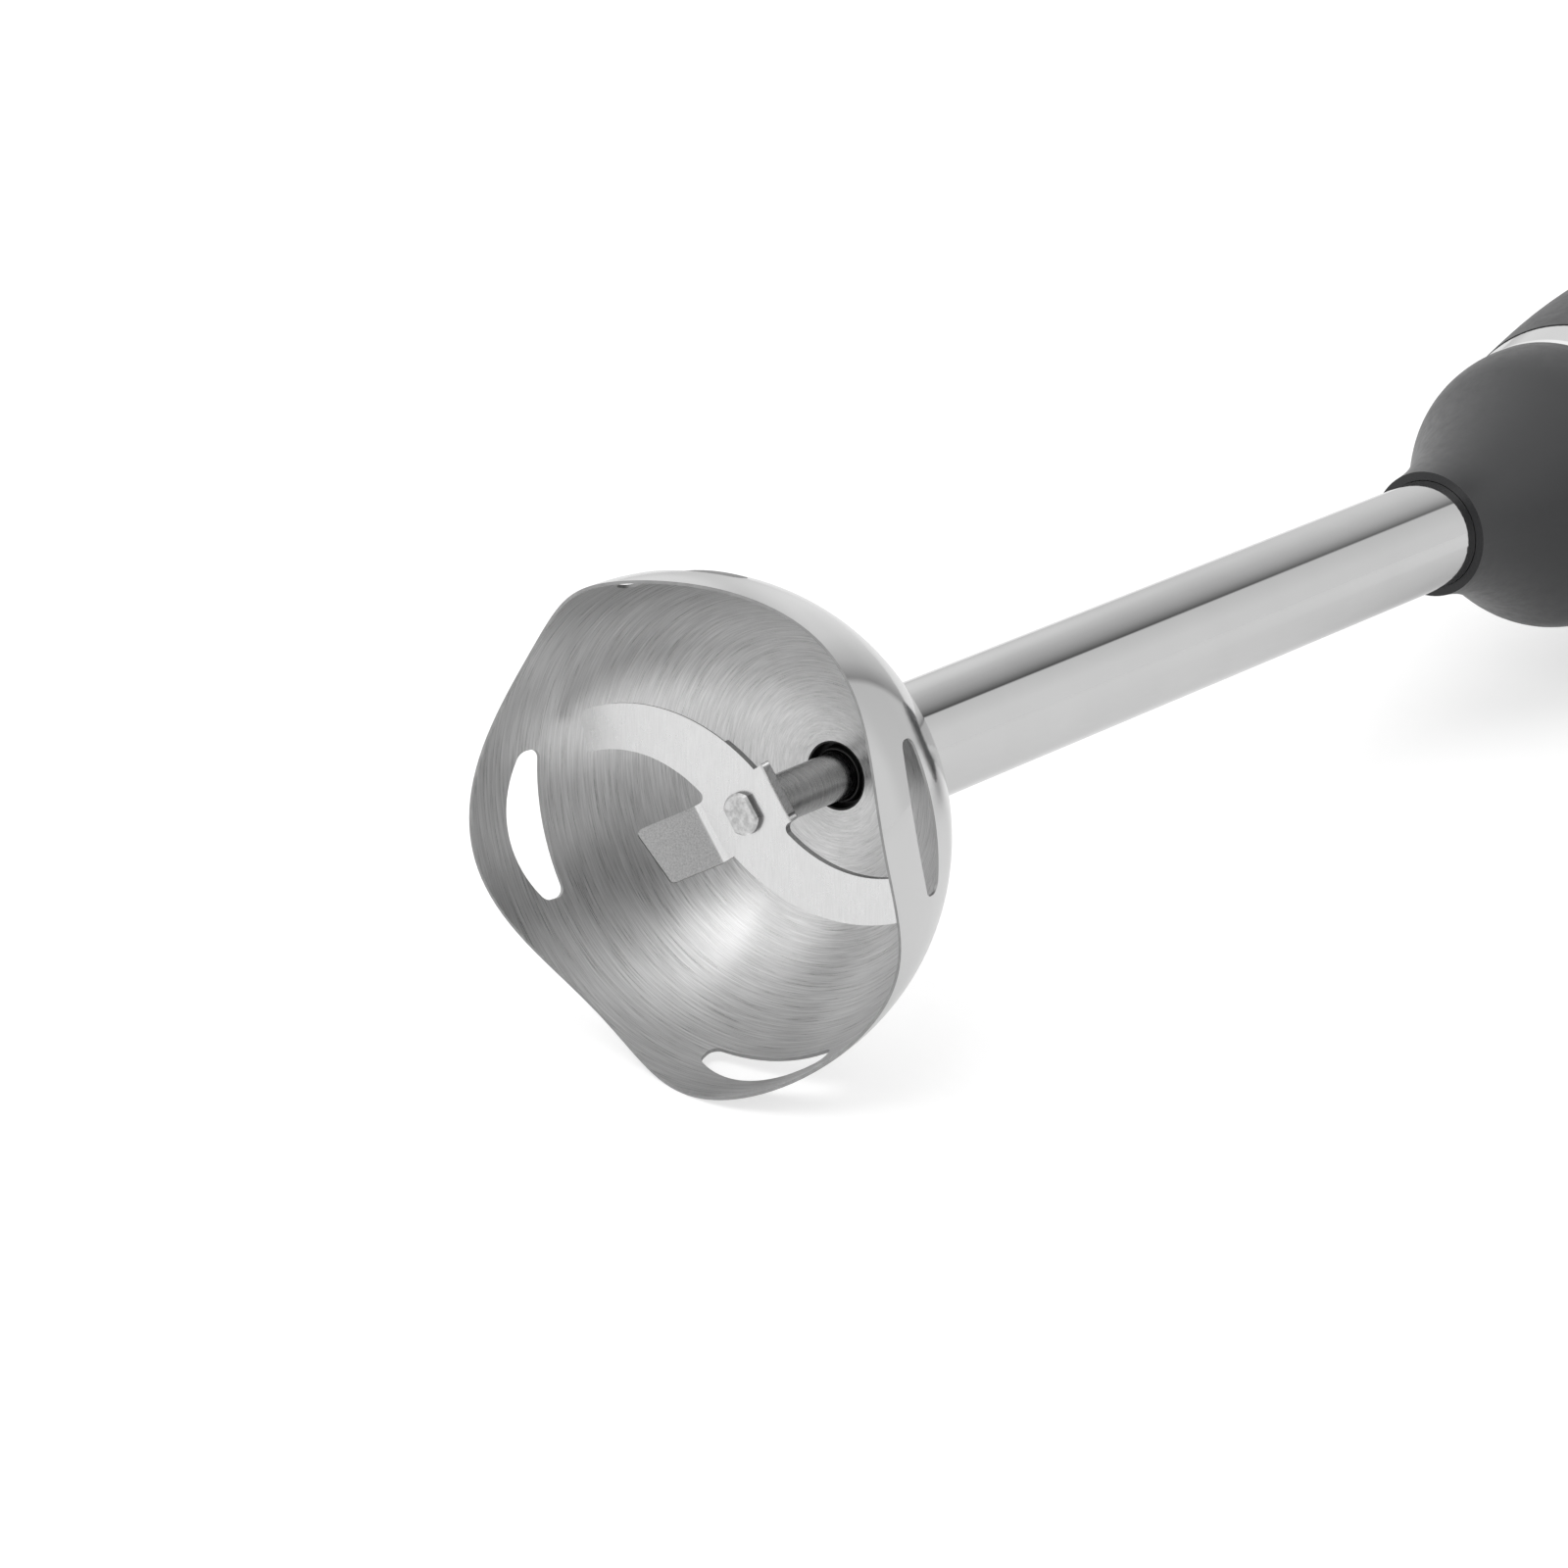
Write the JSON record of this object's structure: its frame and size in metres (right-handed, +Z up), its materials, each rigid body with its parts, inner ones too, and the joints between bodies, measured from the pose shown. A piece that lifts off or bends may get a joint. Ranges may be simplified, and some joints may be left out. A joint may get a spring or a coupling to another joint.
{
  "type": "immersion blender",
  "caption": "Hand-held immersion blender: a lobed steel bell with an S-shaped blade on a long tube, pulled off a motor handle with buttons and a speed dial.",
  "frame": {"origin": "middle of the footprint, on the surface that the blender lies on", "axes": "+Z up; +Y along the tool axis from the bell's mouth to the speed dial; buttons face +Z"},
  "size_m": [0.0664, 0.4144, 0.0664],
  "materials": {
    "polished_steel": "mirror polished outside, brushed in circles inside the bell",
    "blade_steel": "fine satin, ground",
    "dark_steel": "dark, turned",
    "spring_steel": "drawn wire",
    "bronze": "sintered, matt",
    "seal_rubber": "matt",
    "grip_rubber": "soft touch",
    "casing_plastic": "fine moulded grain",
    "collar_plastic": "satin",
    "panel_plastic": "gloss",
    "button_plastic": "satin",
    "inner_plastic": "natural",
    "lamination": "stacked sheets",
    "copper": "enamelled wire",
    "brush_brass": "stamped",
    "graphite": "matt",
    "board": "solder-resist"
  },
  "bodies": {
    "motor_unit": {"front_shell": "casing_plastic", "back_shell": "casing_plastic", "nose_ring": "polished_steel", "socket": "inner_plastic", "end_cap": "casing_plastic", "cord_gland": "seal_rubber", "control_panel": "panel_plastic", "grip_pad": "grip_rubber", "rest_heel": "grip_rubber", "housing_screws": "spring_steel", "front_bracket": "inner_plastic", "rear_bracket": "inner_plastic", "front_damper": "seal_rubber", "rear_damper": "seal_rubber", "front_bearing": "bronze", "rear_bearing": "bronze", "stator_core": "lamination", "field_coils": "copper", "brush_holders": "brush_brass", "carbon_brushes": "graphite", "brush_springs": "spring_steel", "circuit_board": "board", "on_switch": "inner_plastic", "turbo_switch": "inner_plastic", "on_spring": "spring_steel", "turbo_spring": "spring_steel", "release_spring_left": "spring_steel", "release_spring_right": "spring_steel", "speed_control": "inner_plastic"},
    "foot": {"bell_guard": "polished_steel", "shaft_tube": "polished_steel", "shaft_seal": "seal_rubber", "seal_carrier": "inner_plastic", "lower_bush": "bronze", "thrust_washer": "spring_steel", "upper_bush_carrier": "inner_plastic", "upper_bush": "bronze", "foot_collar": "collar_plastic", "collar_oring": "seal_rubber", "collar_sleeve": "inner_plastic"},
    "blade_drive": {"blade": "blade_steel", "drive_shaft": "dark_steel", "shaft_clips": "spring_steel", "driven_dog": "inner_plastic"},
    "rotor": {"armature_core": "lamination", "armature_winding": "copper", "commutator": "copper", "motor_shaft": "dark_steel", "cooling_fan": "inner_plastic", "drive_dog": "inner_plastic"},
    "on_button": {"on_button": "button_plastic"},
    "turbo_button": {"turbo_button": "button_plastic"},
    "release_left": {"release_left": "button_plastic"},
    "release_right": {"release_right": "button_plastic"},
    "speed_dial": {"speed_dial": "casing_plastic"}
  },
  "joints": [
    {"name": "foot_pull", "type": "slide", "parent": "motor_unit", "child": "foot", "axis": [0, -1, 0], "range_m": [0, 0.03]},
    {"name": "rotor_spin", "type": "hinge", "parent": "motor_unit", "child": "rotor", "pos_m": [0, 0.0852, 0.0332], "axis": [0, 1, 0], "continuous": true},
    {"name": "blade_spin", "type": "hinge", "parent": "foot", "child": "blade_drive", "pos_m": [0, -0.1048, 0.0332], "axis": [0, 1, 0], "continuous": true},
    {"name": "on_press", "type": "slide", "parent": "motor_unit", "child": "on_button", "axis": [0, 0, -1], "range_m": [0, 0.002], "stiffness_N_per_m": 800, "springref_m": -0.002, "deforming": ["on_spring"]},
    {"name": "turbo_press", "type": "slide", "parent": "motor_unit", "child": "turbo_button", "axis": [0, 0, -1], "range_m": [0, 0.002], "stiffness_N_per_m": 800, "springref_m": -0.002, "deforming": ["turbo_spring"]},
    {"name": "release_left_press", "type": "slide", "parent": "motor_unit", "child": "release_left", "axis": [1, 0, 0], "range_m": [0, 0.0018], "stiffness_N_per_m": 1000, "springref_m": -0.0015, "deforming": ["release_spring_left"]},
    {"name": "release_right_press", "type": "slide", "parent": "motor_unit", "child": "release_right", "axis": [-1, 0, 0], "range_m": [0, 0.0018], "stiffness_N_per_m": 1000, "springref_m": -0.0015, "deforming": ["release_spring_right"]},
    {"name": "speed_turn", "type": "hinge", "parent": "motor_unit", "child": "speed_dial", "pos_m": [0, 0.1992, 0.0417], "axis": [0, -1, 0], "range_deg": [0, 270]}
  ],
  "couplings": [
    {"joint": "blade_spin", "follows": "rotor_spin", "ratio": 1}
  ]
}
